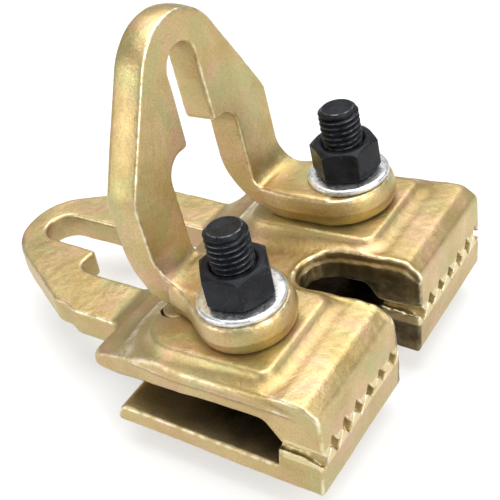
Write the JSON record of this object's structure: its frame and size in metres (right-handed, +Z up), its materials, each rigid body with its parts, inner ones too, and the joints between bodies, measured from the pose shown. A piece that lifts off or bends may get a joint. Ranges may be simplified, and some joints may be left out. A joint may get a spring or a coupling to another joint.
{
  "type": "pulling clamp",
  "caption": "Two-way forged pulling clamp: toothed jaws closed by through bolts, with a flat rear pull loop and an upright pull arch over the bolts.",
  "frame": {"origin": "on the lower jaw's underside, on the clamp's mid plane, 50 mm behind the jaws' front face", "axes": "+X towards the mouth, +Y to the clamp's left along the jaws' width, +Z up from the lower jaw to the upper jaw"},
  "size_m": [0.1909, 0.1408, 0.151],
  "materials": {
    "yellow_zinc": "yellow chromated zinc on forged steel",
    "pin_steel": "turned steel, lightly plated",
    "black_oxide": "black oxide",
    "bright_zinc": "bright zinc"
  },
  "bodies": {
    "lower_jaw": {"lower_jaw": "yellow_zinc"},
    "upper_jaw": {"upper_jaw": "yellow_zinc", "pull_arch": "yellow_zinc", "washer_left": "bright_zinc", "washer_right": "bright_zinc", "fulcrum_pin_left": "pin_steel", "fulcrum_pin_right": "pin_steel"},
    "bolt_left": {"bolt_left": "black_oxide"},
    "bolt_right": {"bolt_right": "black_oxide"},
    "nut_left": {"nut_left": "black_oxide"},
    "nut_right": {"nut_right": "black_oxide"}
  },
  "joints": [
    {"name": "jaw_open", "type": "hinge", "parent": "lower_jaw", "child": "upper_jaw", "pos_m": [-0.02336, 0, 0.0075], "axis": [0, -1, 0], "range_deg": [0, 8]},
    {"name": "bolt_left_slide", "type": "slide", "parent": "upper_jaw", "child": "bolt_left", "axis": [0.0724, 0, -0.9974], "range_m": [0, 0.007]},
    {"name": "bolt_right_slide", "type": "slide", "parent": "upper_jaw", "child": "bolt_right", "axis": [0.0724, 0, -0.9974], "range_m": [0, 0.007]},
    {"name": "nut_left_turn", "type": "hinge", "parent": "upper_jaw", "child": "nut_left", "pos_m": [0.00601, 0.0409, 0.05945], "axis": [-0.0724, 0, 0.9974], "range_deg": [0, 1080]},
    {"name": "nut_right_turn", "type": "hinge", "parent": "upper_jaw", "child": "nut_right", "pos_m": [0.00601, -0.0409, 0.05945], "axis": [-0.0724, 0, 0.9974], "range_deg": [0, 1080]}
  ],
  "couplings": [
    {"joint": "bolt_left_slide", "follows": "jaw_open", "m_per_rad": 0.0494},
    {"joint": "bolt_right_slide", "follows": "jaw_open", "m_per_rad": 0.0494},
    {"joint": "nut_left_turn", "follows": "jaw_open", "ratio": 134.4},
    {"joint": "nut_right_turn", "follows": "jaw_open", "ratio": 134.4}
  ]
}
